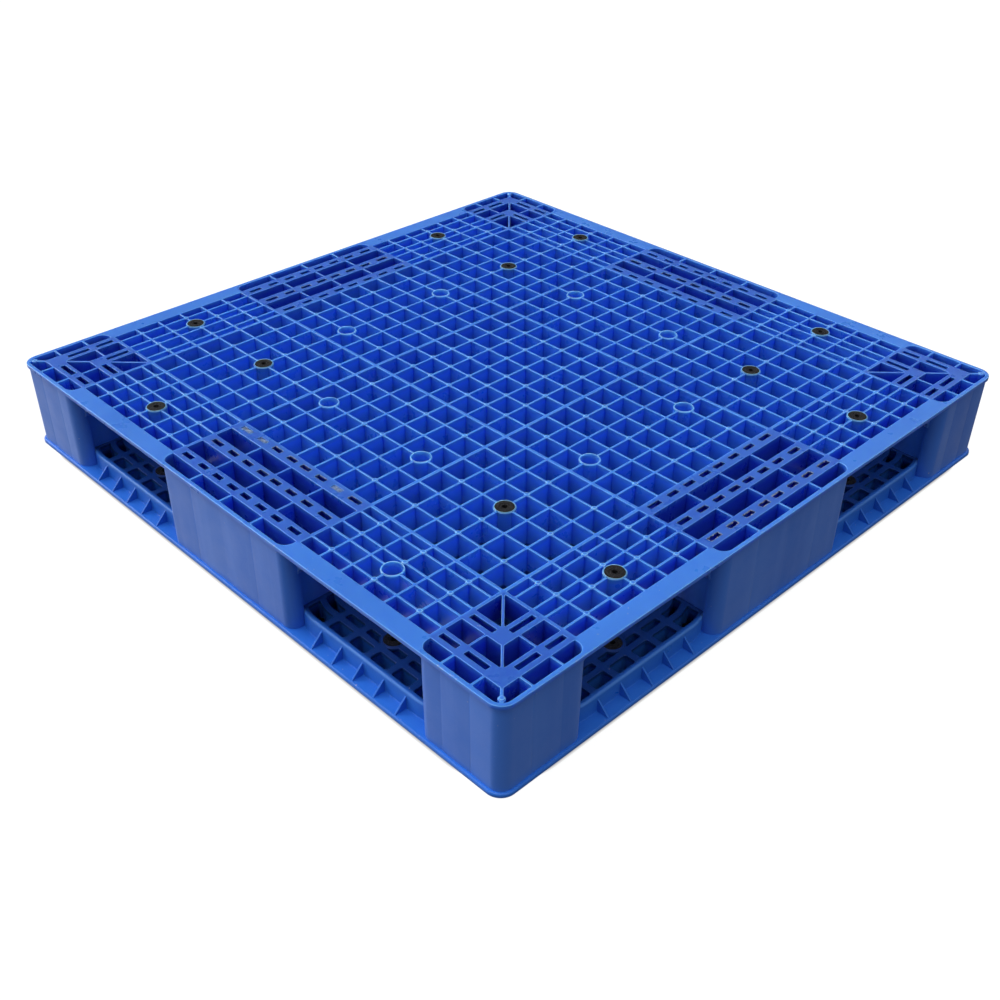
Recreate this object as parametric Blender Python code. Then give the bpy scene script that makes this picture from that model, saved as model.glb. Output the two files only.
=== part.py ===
"""A double-faced plastic grid pallet, 1.2 m square and 160 mm high, at rest on its bottom deck.

The frame is metres with +Z up. The origin is the middle of the underside. -Y is the front and +X the
right. The pallet is two injection mouldings: the top one carries the deck and nine hollow legs, and the
bottom one is a raised panel with a flat flange all round. Rubber plugs fill tubes in both mouldings.
"""

import math

import bmesh
import bpy
from mathutils import Matrix

# Overall size
HALF = 0.600                # half of the pallet's side
HEIGHT = 0.160              # floor to deck surface
CORNER_R = 0.025            # plan radius of the two decks' corners
GAP = 0.0003                # clearance between neighbouring pieces

# Top deck: a grid of ribs at multiples of one pitch, counted from the pallet's centre
PITCH = 0.0462
RIB_STEPS = (0.5, 2.5, 3.5, 4.5, 6.5, 8.5, 9.5)
RIB = 0.0034                # rib thickness
THICK_RIB = 0.0056          # ribs in line with the sides of the legs
DECK_DEPTH = 0.040          # depth of the ribs
LIP_DEPTH = 0.007           # depth of the flat border round the deck
LEG_LINE = 3.5 * PITCH      # rib line along the side of the middle legs
GRID_EDGE = 9.5 * PITCH     # rib line that ends the main grid
RING_ROW = 0.5143           # rib line through the outer tubes
BORDER = 0.5698             # last rib line, where the flat border starts
EMPTY_RING_LINE = 2.5 * PITCH
RING_LINE = 6.5 * PITCH     # rib line through the tubes, in the middle of each fork lane

# Flat strips and open cells over the legs, measured from the pallet's centre
STRIP_CELLS = ((0.4626, 0.4919), (0.5167, 0.5463), (0.5711, 0.5935))
LEG_CROSS_RIB = 0.0779      # cross ribs over a middle leg
CORNER_CROSS_RIB = 0.540    # cross rib in the outer cells of a corner leg
DIAGONAL_RIB = 0.0038

# Tubes and rubber plugs
TUBE_R = 0.0176
TUBE_BORE_R = 0.0159
TUBE_SIDES = 8
PLUG_HOLE_R = 0.0040
PLUG_PROUD = 0.0012         # how far a top plug stands above the deck
PLUG_RAISED = 0.0005        # how far a bottom plug stays above the floor

# Legs
LEG_FACE = 0.5965           # outer face of the legs, just under the lip
POST_R = 0.020              # radius of a leg's upright outer corners
POST_BACK = LEG_FACE - POST_R
POST_SIDE = 0.1617          # side of a middle leg's outer post
BLOCK = 0.150               # half width of the narrower block behind the posts
LANE = 0.300                # width of a fork lane between the blocks
LEG_WALL = 0.0036
LEG_TAPER = 0.0012          # how much each side of a leg narrows towards the floor
ARC_STEPS = 3
FLAT_ANGLE = 0.2            # degrees below which neighbouring faces count as one flat

# Bottom deck
FLANGE = 0.007              # thickness of the flange and of the floor under the legs
PANEL_TOP = 0.036
RIM = 0.5765                # the panel's outer wall
RIM_R = 0.100               # plan radius where the rim curves in to a leg
RIM_BEND = 0.190            # where that curve starts
POCKET_GAP = 0.0008         # clearance round a leg in the panel
SLOT_ROW = (0.548, 0.568)   # row of openings next to the rim
SLOT_RIB = 0.010
SLOT_END = 0.156
BEAM = 0.020                # half width of the solid beams between the large openings
ENTRY_RIBS = [LEG_LINE + i * PITCH for i in range(1, 6)]    # ribs and gussets of half an entry
WINDOW = (0.161, 0.279)     # large openings further in, mirrored about each lane's middle
BOTTOM_RING_ROW = 0.519
GUSSET_FOOT = 0.5965
GUSSET_THICKNESS = 0.003
GUSSET_BITE = 0.0015        # how far a gusset runs into the wall and the flange

BLUE_TOP = (0.056, 0.200, 0.690, 1.0)
BLUE_LEG = (0.050, 0.150, 0.480, 1.0)
BLUE_BASE = (0.052, 0.180, 0.620, 1.0)
BLACK = (0.012, 0.012, 0.011, 1.0)


def clear_scene():
    for obj in list(bpy.data.objects):
        bpy.data.objects.remove(obj, do_unlink=True)


def new_collection(name, hidden=False):
    collection = bpy.data.collections.new(name)
    collection.hide_render = hidden
    bpy.context.scene.collection.children.link(collection)
    return collection


def plastic(name, colour, roughness):
    material = bpy.data.materials.new(name)
    material.use_nodes = True
    shader = material.node_tree.nodes["Principled BSDF"]
    shader.inputs["Base Color"].default_value = colour
    shader.inputs["Roughness"].default_value = roughness
    shader.inputs["Metallic"].default_value = 0.0
    material.diffuse_color = colour
    return material


# ---------------------------------------------------------------- plan outlines

def arc(centre, radius, start, end, steps=ARC_STEPS):
    """Points on a plan arc, angles in degrees, both ends included."""
    angles = [math.radians(start + (end - start) * i / steps) for i in range(steps + 1)]
    return [(centre[0] + radius * math.cos(a), centre[1] + radius * math.sin(a)) for a in angles]


def polygon(centre, radius, sides):
    return arc(centre, radius, 0, 360 - 360 / sides, sides - 1)


def turned(loop, quarter):
    """The outline turned by a number of quarter turns about the pallet's centre."""
    cos, sin = ((1, 0), (0, 1), (-1, 0), (0, -1))[quarter]
    return [(x * cos - y * sin, x * sin + y * cos) for x, y in loop]


def swapped(loop):
    """The outline mirrored in the diagonal between +X and +Y."""
    return [(y, x) for x, y in loop]


def flipped(loop):
    return [(-x, y) for x, y in loop]


def all_round(loops):
    """Every outline of one side, on all four sides."""
    return [turned(loop, quarter) for quarter in range(4) for loop in loops]


def rounded_square(half, radius, steps=ARC_STEPS):
    inner = half - radius
    corners = ((inner, inner, 0), (-inner, inner, 90), (-inner, -inner, 180), (inner, -inner, 270))
    return [point for x, y, start in corners for point in arc((x, y), radius, start, start + 90, steps)]


def rectangle(x0, x1, y0, y1):
    return [(x0, y0), (x1, y0), (x1, y1), (x0, y1)]


# ---------------------------------------------------------------- top deck plan

def plug_spots(row):
    """Where the twelve plugged tubes stand: two on each side and four further in."""
    side = [(RING_LINE, row), (-RING_LINE, row)]
    inner = [(RING_LINE, RING_LINE)]
    return [turned([spot], quarter)[0] for quarter in range(4) for spot in side + inner]


def empty_spots():
    pair = [(EMPTY_RING_LINE, RING_LINE), (-EMPTY_RING_LINE, RING_LINE)]
    return [turned([spot], quarter)[0] for quarter in range(4) for spot in pair]


TUBES = plug_spots(RING_ROW) + empty_spots()


def has_tube(x, y):
    return any(math.hypot(x - tx, y - ty) < RIB for tx, ty in TUBES)


def half_rib(line):
    """Half the thickness of the rib on a line of the grid."""
    thick = any(abs(abs(line) - other) < RIB for other in (LEG_LINE, GRID_EDGE))
    return (THICK_RIB if thick else RIB) / 2


def cell_corner(x, y, sx, sy):
    """A cell's corner at the crossing (x, y); it goes round the tube where one stands there."""
    hx, hy = half_rib(x), half_rib(y)
    if not has_tube(x, y):
        return [(x + sx * hx, y + sy * hy)]
    on_y_rib = (x + sx * math.sqrt(TUBE_R ** 2 - hy ** 2), y + sy * hy)
    middle = (x + sx * TUBE_R * math.sqrt(0.5), y + sy * TUBE_R * math.sqrt(0.5))
    on_x_rib = (x + sx * hx, y + sy * math.sqrt(TUBE_R ** 2 - hx ** 2))
    return [on_x_rib, middle, on_y_rib] if sx * sy > 0 else [on_y_rib, middle, on_x_rib]


def cell(x0, x1, y0, y1):
    """The opening between four rib lines."""
    corners = ((x0, y0, 1, 1), (x1, y0, -1, 1), (x1, y1, -1, -1), (x0, y1, 1, -1))
    return [point for corner in corners for point in cell_corner(*corner)]


def main_cells():
    half = [step * PITCH for step in RIB_STEPS]
    lines = [-line for line in half[::-1]] + half
    spans = list(zip(lines, lines[1:]))
    return [cell(x0, x1, y0, y1) for x0, x1 in spans for y0, y1 in spans]


def edge_cells():
    """Two rows of cells between a corner leg and a middle leg, on both halves of one side."""
    columns = [step * PITCH for step in RIB_STEPS if step >= 3.5]
    rows = ((GRID_EDGE, RING_ROW), (RING_ROW, BORDER))
    right = [cell(x0, x1, y0, y1) for x0, x1 in zip(columns, columns[1:]) for y0, y1 in rows]
    return right + [flipped(loop) for loop in right]


def leg_cells():
    """Open cells over a middle leg, between the flat strips; the outer end cells follow its posts."""
    inner_x = (RIB / 2, LEG_CROSS_RIB - RIB / 2)
    outer_x = (LEG_CROSS_RIB + RIB / 2, LEG_LINE - THICK_RIB / 2)
    right = [rectangle(*inner_x, y0, y1) for y0, y1 in STRIP_CELLS]
    right += [rectangle(*outer_x, y0, y1) for y0, y1 in STRIP_CELLS[:2]]
    y0, y1 = STRIP_CELLS[2]
    radius = y1 - POST_BACK
    post = arc((outer_x[1] - radius, POST_BACK), radius, 0, 90, 2)
    right.append([(outer_x[0], y0), (outer_x[1], y0)] + post + [(outer_x[0], y1)])
    return right + [flipped(loop) for loop in right]


def corner_cells():
    """Open cells over a corner leg, between L-shaped strips and split by a rib on the diagonal."""
    start = GRID_EDGE + THICK_RIB / 2
    lean = DIAGONAL_RIB / math.sqrt(2)
    inner_end = STRIP_CELLS[0][1]
    arm = [[(start, start + lean), (inner_end - lean, inner_end), (start, inner_end)]]
    y0, y1 = STRIP_CELLS[1]
    arm.append([(start, y0), (y0 - lean, y0), (y1 - lean, y1), (start, y1)])
    y0, y1 = STRIP_CELLS[2]
    radius = y1 - POST_BACK
    stop = CORNER_CROSS_RIB - RIB / 2
    post = arc((start + radius, POST_BACK), radius, 180, 90, 2)
    arm.append([(start, y0), (stop, y0), (stop, y1)] + post[::-1])
    restart = CORNER_CROSS_RIB + RIB / 2
    post = arc((POST_BACK, POST_BACK), radius, 50, 90, 2)
    arm.append([(restart, y0), (y0 - lean, y0)] + post + [(restart, y1)])
    return arm + [swapped(loop) for loop in arm]


def deck_outline_below_lip():
    """The deck's outline under its lip: out at the legs' faces, in at the last rib over the entries."""
    wall = BORDER + RIB / 2
    corner_side = 2 * RING_LINE - POST_SIDE
    side = []
    side += arc((POST_SIDE - POST_R, POST_BACK), POST_R, 90, 0)
    side += [(POST_SIDE, wall), (corner_side, wall)]
    side += arc((corner_side + POST_R, POST_BACK), POST_R, 180, 90)
    half = [(-x, y) for x, y in side[::-1]] + side
    loop = []
    for quarter in (0, 3, 2, 1):
        loop += turned(half + arc((POST_BACK, POST_BACK), POST_R, 90, 0)[1:-1], quarter)
    return loop


# ---------------------------------------------------------------- leg plans

def middle_leg_plan():
    """A leg on the +Y side: a block with a wider outer face whose ends are round posts."""
    right = arc((POST_SIDE - POST_R, POST_BACK), POST_R, 90, 0)
    right += [(BLOCK, POST_BACK), (BLOCK, BLOCK + LANE)]
    return right + [(-x, y) for x, y in right[::-1]]


def corner_leg_plan():
    """The leg in the +X +Y corner."""
    start = BLOCK + LANE
    side = 2 * RING_LINE - POST_SIDE
    arm = arc((POST_BACK, POST_BACK), POST_R, 45, 90, 2)
    arm += arc((side + POST_R, POST_BACK), POST_R, 90, 180)
    arm += [(start, POST_BACK)]
    return arm + [(start, start)] + swapped(arm)[:0:-1]


def chambers(x_walls, y_walls):
    """Square openings between wall centre lines."""
    half = LEG_WALL / 2
    return [
        rectangle(x0 + half, x1 - half, y0 + half, y1 - half)
        for x0, x1 in zip(x_walls, x_walls[1:])
        for y0, y1 in zip(y_walls, y_walls[1:])
    ]


def leg_shapes():
    """(name, quarter turns, outline, chambers) of the nine legs."""
    half = LEG_WALL / 2
    edge = BLOCK - half
    near = BLOCK + LANE + half
    far = LEG_FACE - half - LEG_TAPER
    middle_strip = (STRIP_CELLS[0][1] + STRIP_CELLS[1][0]) / 2
    across = (-edge, -LEG_CROSS_RIB, 0.0, LEG_CROSS_RIB, edge)
    middle = (middle_leg_plan(), chambers(across, (near, middle_strip, far)))
    corner_walls = (near, middle_strip, POST_BACK)
    corner = (corner_leg_plan(), chambers(corner_walls, corner_walls))
    centre_walls = (-edge, -edge / 3, edge / 3, edge)
    centre = (rectangle(-BLOCK, BLOCK, -BLOCK, BLOCK), chambers(centre_walls, centre_walls))
    middles = ("leg_back_middle", "leg_middle_left", "leg_front_middle", "leg_middle_right")
    corners = ("leg_back_right", "leg_back_left", "leg_front_left", "leg_front_right")
    shapes = [(name, quarter, *middle) for quarter, name in enumerate(middles)]
    shapes += [(name, quarter, *corner) for quarter, name in enumerate(corners)]
    return shapes + [("leg_centre", 0, *centre)]


# ---------------------------------------------------------------- bottom deck plan

def panel_outline():
    """The raised panel: a square with curved rims at the entries and a pocket round each outer leg."""
    near = BLOCK + POCKET_GAP
    far = BLOCK + LANE - POCKET_GAP
    meet = 180 - math.degrees(math.acos((RIM_BEND - near) / RIM_R))
    bend = arc((RIM_BEND, RIM - RIM_R), RIM_R, meet, 90)
    half = [(near, far)] + bend + [(2 * LANE - x, y) for x, y in bend[::-1]]
    side = [(-far, far)] + [(-x, y) for x, y in half[::-1]] + half
    return [point for quarter in (0, 3, 2, 1) for point in turned(side, quarter)]


def slot_holes():
    """The row of openings next to the rim of one entry, on both halves of one side."""
    y0, y1 = SLOT_ROW
    half = SLOT_RIB / 2
    right = [rectangle(x0 + half, x1 - half, y0, y1) for x0, x1 in zip(ENTRY_RIBS, ENTRY_RIBS[1:])]
    centre = (RIM_BEND, RIM - RIM_R)
    outer = y1 - centre[1]
    inner = y0 - centre[1]
    outer_end = 180 - math.degrees(math.acos((RIM_BEND - SLOT_END) / outer))
    inner_end = 180 - math.degrees(math.acos((RIM_BEND - SLOT_END) / inner))
    end = [(ENTRY_RIBS[0] - half, y0), (ENTRY_RIBS[0] - half, y1)]
    end += arc(centre, outer, 90, outer_end, 1) + arc(centre, inner, inner_end, 90, 1)
    right.append(end)
    right.append([(2 * RING_LINE - x, y) for x, y in end])
    return right + [flipped(loop) for loop in right]


def windows():
    """Large openings of one fork lane: beside the entry, in the lane crossings and beside the centre."""
    columns = (WINDOW, (2 * LANE - WINDOW[1], 2 * LANE - WINDOW[0]))
    rows = ((-BEAM - WINDOW[1] + WINDOW[0], -BEAM), (BEAM, BEAM + WINDOW[1] - WINDOW[0]))
    entry = (2 * LANE - WINDOW[0] + BEAM, BOTTOM_RING_ROW - SLOT_RIB)
    lane = [rectangle(*column, *row) for column in columns for row in rows + (entry,)]
    lane += [flipped(rectangle(*column, *entry)) for column in columns]
    crossing = [rectangle(*column, *row) for column in columns for row in columns]
    return lane + crossing


# ---------------------------------------------------------------- solids

def plate(name, loops, bottom, top, collection):
    """A flat plate with the first loop as its outline and the others as openings."""
    curve = bpy.data.curves.new(name, "CURVE")
    curve.dimensions = "2D"
    curve.fill_mode = "BOTH"
    curve.extrude = (top - bottom) / 2
    for loop in loops:
        spline = curve.splines.new("POLY")
        spline.points.add(len(loop) - 1)
        for point, (x, y) in zip(spline.points, loop):
            point.co = (x, y, 0.0, 1.0)
        spline.use_cyclic_u = True
    obj = bpy.data.objects.new(name, curve)
    obj.location.z = (top + bottom) / 2
    collection.objects.link(obj)
    return obj


def to_mesh(obj):
    """Replaces a curve object with a mesh object of the same shape, its caps welded. The triangles of the
    flat caps are turned where that makes them less thin; the four-sided walls stay as they are."""
    bpy.context.view_layer.update()
    evaluated = obj.evaluated_get(bpy.context.evaluated_depsgraph_get())
    mesh = bpy.data.meshes.new_from_object(evaluated)
    work = bmesh.new()
    work.from_mesh(mesh)
    work.transform(obj.matrix_world)
    bmesh.ops.remove_doubles(work, verts=work.verts, dist=1e-6)
    bmesh.ops.recalc_face_normals(work, faces=work.faces)
    caps = [face for face in work.faces if len(face.verts) == 3]
    inside = [edge for edge in work.edges if all(len(face.verts) == 3 for face in edge.link_faces)]
    bmesh.ops.beautify_fill(work, faces=caps, edges=inside, method="ANGLE")
    work.to_mesh(mesh)
    work.free()
    name, collection = obj.name, obj.users_collection[0]
    bpy.data.objects.remove(obj, do_unlink=True)
    result = bpy.data.objects.new(name, mesh)
    collection.objects.link(result)
    return result


def merge_flats(obj):
    """Joins faces that lie in one plane, and drops the points this leaves along straight edges."""
    modifier = obj.modifiers.new("merge_flats", "DECIMATE")
    modifier.decimate_type = "DISSOLVE"
    modifier.angle_limit = math.radians(FLAT_ANGLE)


def boolean(obj, cutter, operation):
    cutter.hide_render = True
    cutter.display_type = "WIRE"
    modifier = obj.modifiers.new(cutter.name, "BOOLEAN")
    modifier.object = cutter
    modifier.operation = operation


def make_top_deck(parts, cutters):
    """The deck moulding: a ribbed grid 40 mm deep inside a border only 7 mm deep."""
    outline = rounded_square(HALF, CORNER_R)
    bores = [polygon(spot, TUBE_BORE_R, TUBE_SIDES) for spot in TUBES]
    cells = main_cells() + all_round(edge_cells() + leg_cells() + corner_cells())
    deck = to_mesh(plate("top_deck", [outline] + cells + bores, HEIGHT - DECK_DEPTH, HEIGHT, parts))
    frame = [rectangle(-2 * HALF, 2 * HALF, -2 * HALF, 2 * HALF), deck_outline_below_lip()]
    relief = to_mesh(plate("lip_relief", frame, 0.0, HEIGHT - LIP_DEPTH, cutters))
    boolean(deck, relief, "DIFFERENCE")
    merge_flats(deck)
    return deck


def make_leg(name, quarter, outline, holes, parts):
    """A hollow leg between the two mouldings, slightly narrower at the floor."""
    bottom = FLANGE + GAP
    top = HEIGHT - DECK_DEPTH - GAP
    leg = to_mesh(plate(name, [outline] + holes, bottom, top, parts))
    xs = [x for x, _ in outline]
    ys = [y for _, y in outline]
    centre = ((min(xs) + max(xs)) / 2, (min(ys) + max(ys)) / 2)
    for vertex in leg.data.vertices:
        if vertex.co.z < (bottom + top) / 2:
            vertex.co.x -= LEG_TAPER * (vertex.co.x - centre[0]) / (max(xs) - centre[0])
            vertex.co.y -= LEG_TAPER * (vertex.co.y - centre[1]) / (max(ys) - centre[1])
    leg.rotation_euler.z = quarter * math.pi / 2
    return leg


def make_gussets(cutters):
    """Triangular stiffeners between the rim and the flange, five to an entry, as one mesh of loose wedges."""
    inner = RIM - GUSSET_BITE
    foot = FLANGE - GUSSET_BITE
    reach = GUSSET_FOOT + GUSSET_BITE
    work = bmesh.new()
    for quarter in range(4):
        for side in (-1, 1):
            for rib in ENTRY_RIBS:
                x = side * rib - GUSSET_THICKNESS / 2
                profile = ((inner, foot), (reach, foot), (inner, foot + reach - inner))
                corners = [work.verts.new((x, y, z)) for y, z in profile]
                face = work.faces.new(corners)
                grown = bmesh.ops.extrude_face_region(work, geom=[face])
                moved = [item for item in grown["geom"] if isinstance(item, bmesh.types.BMVert)]
                bmesh.ops.translate(work, verts=moved, vec=(GUSSET_THICKNESS, 0, 0))
                spin = Matrix.Rotation(quarter * math.pi / 2, 3, "Z")
                bmesh.ops.rotate(work, verts=corners + moved, matrix=spin)
    bmesh.ops.recalc_face_normals(work, faces=work.faces)
    mesh = bpy.data.meshes.new("gussets")
    work.to_mesh(mesh)
    work.free()
    gussets = bpy.data.objects.new("gussets", mesh)
    cutters.objects.link(gussets)
    return gussets


def make_bottom_deck(parts, cutters):
    """The base moulding: a thin floor and flange, and a raised panel with openings between the legs."""
    outline = rounded_square(HALF, CORNER_R)
    bores = [polygon(spot, TUBE_BORE_R, TUBE_SIDES) for spot in plug_spots(BOTTOM_RING_ROW)]
    openings = all_round(slot_holes() + windows())
    base = to_mesh(plate("bottom_deck", [outline] + openings + bores, 0.0, PANEL_TOP, parts))
    pocket = BLOCK + POCKET_GAP
    frame = [rectangle(-2 * HALF, 2 * HALF, -2 * HALF, 2 * HALF), panel_outline()]
    frame.append(rectangle(-pocket, pocket, -pocket, pocket))
    relief = to_mesh(plate("leg_pockets", frame, FLANGE, 2 * PANEL_TOP, cutters))
    boolean(base, relief, "DIFFERENCE")
    boolean(base, make_gussets(cutters), "UNION")
    merge_flats(base)
    return base


def make_plug(name, spot, bottom, top, parts):
    """A rubber plug with a small hole through it, seated in a tube."""
    rim = polygon((0, 0), TUBE_BORE_R - GAP, TUBE_SIDES)
    hole = polygon((0, 0), PLUG_HOLE_R, 6)
    plug = plate(name, [rim, hole], bottom, top, parts)
    plug.location.x, plug.location.y = spot
    return plug


def main():
    clear_scene()
    parts = new_collection("plastic_pallet")
    cutters = new_collection("cutters", hidden=True)
    deck_blue = plastic("deck_blue", BLUE_TOP, 0.42)
    leg_blue = plastic("leg_blue", BLUE_LEG, 0.48)
    base_blue = plastic("base_blue", BLUE_BASE, 0.45)
    rubber = plastic("plug_rubber", BLACK, 0.80)

    make_top_deck(parts, cutters).data.materials.append(deck_blue)
    make_bottom_deck(parts, cutters).data.materials.append(base_blue)
    for name, quarter, outline, holes in leg_shapes():
        make_leg(name, quarter, outline, holes, parts).data.materials.append(leg_blue)
    # The front-right tube of the top deck has lost its plug.
    missing = (RING_LINE, -RING_ROW)
    for i, spot in enumerate(plug_spots(RING_ROW), 1):
        if math.dist(spot, missing) > TUBE_R:
            base, top = HEIGHT - DECK_DEPTH + PLUG_PROUD, HEIGHT + PLUG_PROUD
            make_plug(f"top_plug_{i:02d}", spot, base, top, parts).data.materials.append(rubber)
    for i, spot in enumerate(plug_spots(BOTTOM_RING_ROW), 1):
        top = PANEL_TOP + PLUG_PROUD
        make_plug(f"bottom_plug_{i:02d}", spot, PLUG_RAISED, top, parts).data.materials.append(rubber)


main()
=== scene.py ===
import math
import random

import bmesh
import bpy
from mathutils import Matrix, Vector
from mathutils.geometry import delaunay_2d_cdt

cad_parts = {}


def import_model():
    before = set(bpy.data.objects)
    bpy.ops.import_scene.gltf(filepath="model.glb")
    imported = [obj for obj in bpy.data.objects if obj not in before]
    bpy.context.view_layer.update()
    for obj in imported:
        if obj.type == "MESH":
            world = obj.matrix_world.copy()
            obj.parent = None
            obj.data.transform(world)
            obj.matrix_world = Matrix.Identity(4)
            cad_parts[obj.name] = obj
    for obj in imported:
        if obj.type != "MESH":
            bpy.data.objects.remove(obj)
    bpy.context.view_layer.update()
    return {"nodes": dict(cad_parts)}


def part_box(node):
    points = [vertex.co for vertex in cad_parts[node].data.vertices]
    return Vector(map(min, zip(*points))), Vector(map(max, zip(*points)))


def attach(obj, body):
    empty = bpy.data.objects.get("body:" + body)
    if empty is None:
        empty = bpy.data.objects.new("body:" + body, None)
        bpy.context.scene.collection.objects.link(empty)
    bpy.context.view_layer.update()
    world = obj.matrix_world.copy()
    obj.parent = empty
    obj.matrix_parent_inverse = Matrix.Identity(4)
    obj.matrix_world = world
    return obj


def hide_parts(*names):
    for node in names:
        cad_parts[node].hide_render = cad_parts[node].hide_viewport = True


# Shapes are worked out in millimetres and become metres when a mesh is made. +Z is up, -Y the front and
# +X the right, as in the frame. The pallet repeats on its four sides.

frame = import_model()

MM = 0.001
CHANCE = random.Random(11)


def node_high(node, axis):
    return round(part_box(node)[1][axis] / MM, 3)


def node_low(node, axis):
    return round(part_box(node)[0][axis] / MM, 3)


# -------- driving dimensions
HALF = node_high("top_deck", 0)
TOP = node_high("top_deck", 2)
DECK_BOTTOM = node_low("top_deck", 2)
PANEL_TOP = node_high("bottom_deck", 2)

# The rib grid. LINES are the rib lines on one side of the middle, and the grid mirrors to the other.
CORNER_R = 25.0
PITCH = 46.2
LINES = [(k + 0.5) * PITCH for k in range(10)]
ALL_LINES = [-line for line in LINES[::-1]] + LINES
RIB = 3.4
THICK_RIB = 5.6
LIP = 7.0
LEG_LINE = LINES[3]
GRID_EDGE = LINES[9]
RING_LINE = LINES[6]
RING_ROW = 514.3
EDGE_ROWS = (GRID_EDGE, 458.7, 492.4, RING_ROW, 546.4, 569.8)
DRAFT = 0.4
FILLET = 1.6
DECK_EDGE = 0.85

# The flat strips over the legs: the open cells between them, and the slots in them. Flash has closed three
# slots at the front, whose middles are the last of these.
STRIP_CELLS = ((462.6, 491.9), (516.7, 546.3), (571.1, 593.2))
SLOT_ROWS = ((443.6, 452.4), (499.0, 508.3), (553.0, 562.3))
SLOT_SPANS = ((6.0, 28.0), (44.3, 66.3), (83.0, 105.0), (123.4, 149.4))
CORNER_SLOTS = (((445.8, 489.2),), ((445.8, 479.0), (492.8, 533.5)))
SLOT_R = 1.3
CLOSED_SLOTS = (-136.4, -94.0, 94.0)

LEG_CROSS_RIB = 77.9
CORNER_CROSS_RIBS = (486.0, 540.0)
DIAGONAL_RIB = 3.8
CORNER_BOSS = 583.0
CORNER_BOSS_R = 5.2
SKIN = 5.0

TUBE_R = 17.4
TUBE_RISE = 1.0
SEAT_R = 15.2
SEAT_DEEP = 4.0
BORE_R = 13.8
NUB_R = 4.8
NUB_DEEP = 3.2
NUB_RISE = 1.15

# The legs: a thin face shell wraps round two posts, in front of a block of chambers.
GAP = 0.05
LEG_FACE = 596.5
POST_R = 20.0
POST_BACK = LEG_FACE - POST_R
POST_RUN = 4.0
POST_SIDE = 161.7
CORNER_SIDE = 2 * RING_LINE - POST_SIDE
BLOCK = 150.0
LANE = 300.0
TAPER = 1.2
SHELL = 1.3
PANEL_MARGIN = 4.0
BULGE = 0.75
CREASE = 0.2
CREASE_HALF = 1.2
LEG_WALL = 3.6
LEG_SINK = 0.25
BRACKET_R = 14.0

# The base: a panel with a curved rim at each entry, on a flange.
FLANGE = 7.0
BEAD = 3.0
RIM = 576.5
RIM_R = 100.0
RIM_BEND = 190.0
RIM_EDGE = 4.0
POCKET_GAP = 0.8
BASE_RIB = 11.5
ROW_1 = (548.0, 568.0)
ROW_2 = (526.0, 538.0)
ROW_3 = (490.0, 517.0)
ROW_4 = (GRID_EDGE + 5.0, 480.0)
ROW_END = 157.5
BASE_RING_ROW = 519.0
BASE_TUBE_R = 18.6
BASE_SKIN = 6.0
POCKET_GROW = 2.6


# -------- plan geometry
def arc(centre, radius, start, end, steps):
    angles = [math.radians(start + (end - start) * i / steps) for i in range(steps + 1)]
    return [(centre[0] + radius * math.cos(a), centre[1] + radius * math.sin(a)) for a in angles]


def circle(centre, radius, sides):
    return arc(centre, radius, 0, 360 - 360 / sides, sides - 1)


def turned(loop, quarter):
    cos, sin = ((1, 0), (0, 1), (-1, 0), (0, -1))[quarter]
    return [(x * cos - y * sin, x * sin + y * cos) for x, y in loop]


def flipped(loop):
    return [(-x, y) for x, y in loop]


def swapped(loop):
    return [(y, x) for x, y in loop]


def ccw(loop):
    area = sum(a[0] * b[1] - b[0] * a[1] for a, b in zip(loop, loop[1:] + loop[:1]))
    return loop if area > 0 else loop[::-1]


def all_round(loops):
    return [ccw(turned(loop, quarter)) for quarter in range(4) for loop in loops]


def rectangle(x0, x1, y0, y1):
    return [(x0, y0), (x1, y0), (x1, y1), (x0, y1)]


def rounded_square(half, radius, steps):
    inner = half - radius
    corners = ((inner, inner, 0), (-inner, inner, 90), (-inner, -inner, 180), (inner, -inner, 270))
    return [p for x, y, start in corners for p in arc((x, y), radius, start, start + 90, steps)]


def rounded(loop, radius, steps=2, least=25.0):
    """The outline with a fillet at each corner that turns by more than a few degrees."""
    result = []
    count = len(loop)
    for i, point in enumerate(loop):
        p = Vector(point)
        back = Vector(loop[i - 1]) - p
        ahead = Vector(loop[(i + 1) % count]) - p
        turn = math.degrees(back.angle(ahead))
        if 180 - turn < least:
            result.append(point)
            continue
        reach = min(radius / math.tan(math.radians(turn) / 2), 0.45 * back.length, 0.45 * ahead.length)
        start, end = p + back.normalized() * reach, p + ahead.normalized() * reach
        for k in range(steps + 1):
            t = k / steps
            bend = start * (1 - t) ** 2 + p * 2 * t * (1 - t) + end * t * t
            result.append((bend.x, bend.y))
    return result


def grown(loop, whole, shares=None):
    """A counter-clockwise outline moved outwards by the whole amount, or at each point by a share of it."""
    if not whole:
        return list(loop)
    result = []
    count = len(loop)
    for i in range(count):
        amount = whole * shares[i] if shares else whole
        x0, y0 = loop[i - 1]
        x1, y1 = loop[i]
        x2, y2 = loop[(i + 1) % count]
        a = Vector((y1 - y0, x0 - x1)).normalized()
        b = Vector((y2 - y1, x1 - x2)).normalized()
        share = max(0.35, 1 + a.dot(b))
        result.append((x1 + amount * (a.x + b.x) / share, y1 + amount * (a.y + b.y) / share))
    return result


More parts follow.
